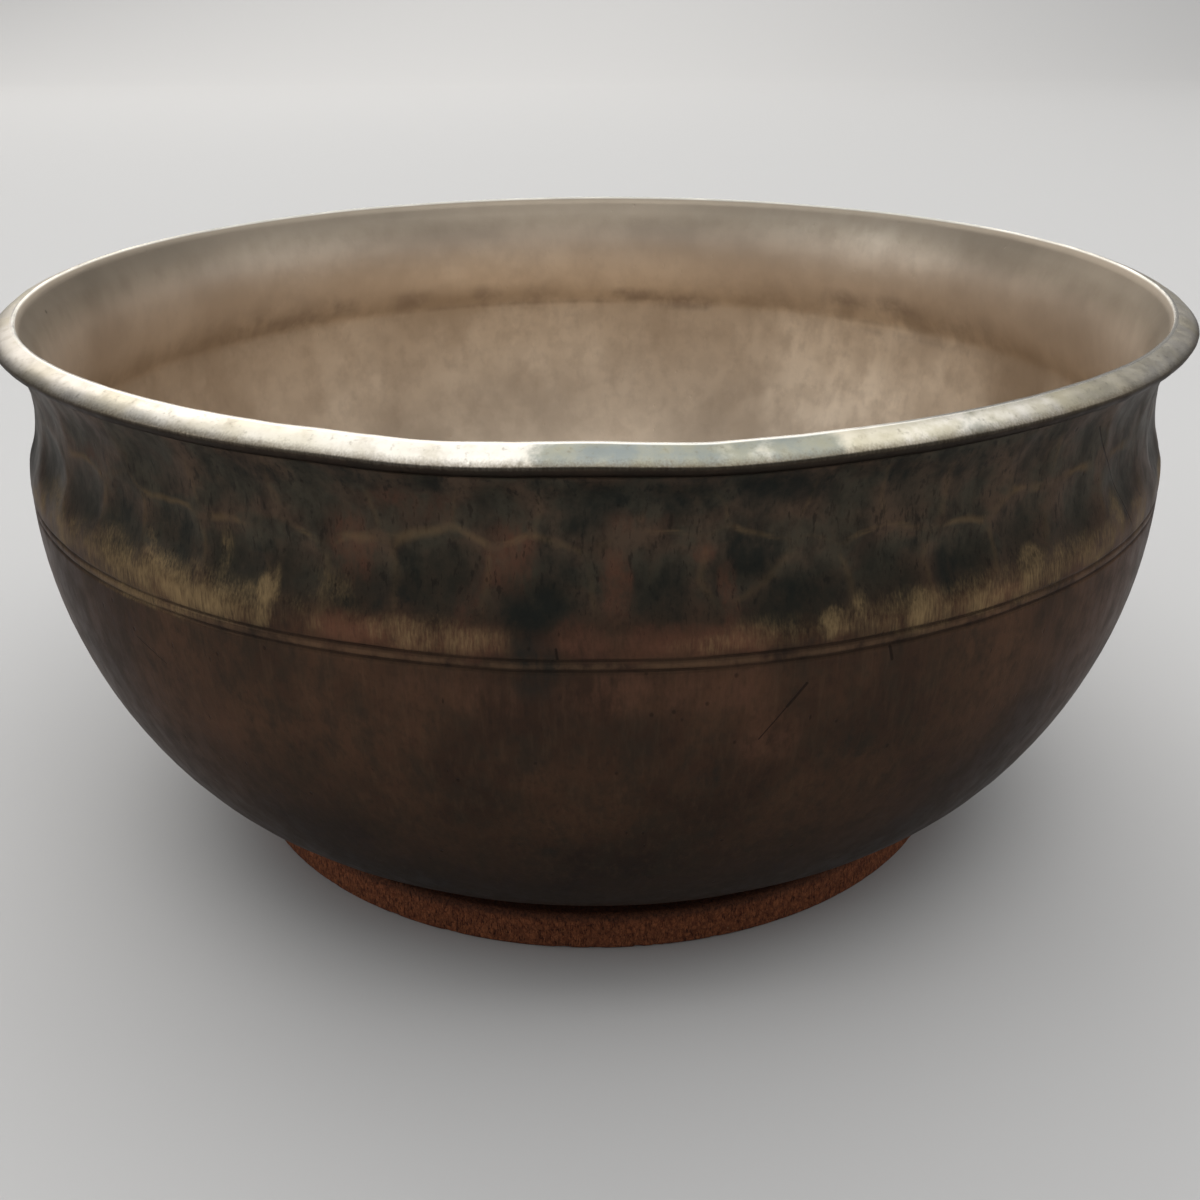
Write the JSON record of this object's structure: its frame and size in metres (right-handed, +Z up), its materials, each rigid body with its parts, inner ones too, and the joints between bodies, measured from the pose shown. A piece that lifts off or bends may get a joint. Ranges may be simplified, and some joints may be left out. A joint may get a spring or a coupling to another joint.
{
  "type": "hammered metal bowl on a cork pad",
  "caption": "Heavy hand-hammered brass bowl with a thick sloping lip, a waisted hammered neck and incised lines on its shoulder, standing loose on a round cork pad.",
  "frame": {"origin": "centre of the cork pad's underside, where the object stands on a table", "axes": "+Z up along the bowl's axis, from the pad towards the mouth; the bowl is round, so +X and +Y are free choices"},
  "size_m": [0.283, 0.283, 0.1341],
  "materials": {
    "hammered_brass": "dark brown patina outside, worn bright on the lip, satin warm tan inside, hammered facets on the neck",
    "cork": "matt agglomerated cork, reddish brown granules"
  },
  "bodies": {
    "pad": {"cork_pad": "cork"},
    "bowl": {"bowl": "hammered_brass"}
  },
  "joints": [
    {"name": "bowl_lift", "type": "slide", "parent": "pad", "child": "bowl", "axis": [0, 0, 1], "range_m": [0, 0.15]}
  ]
}
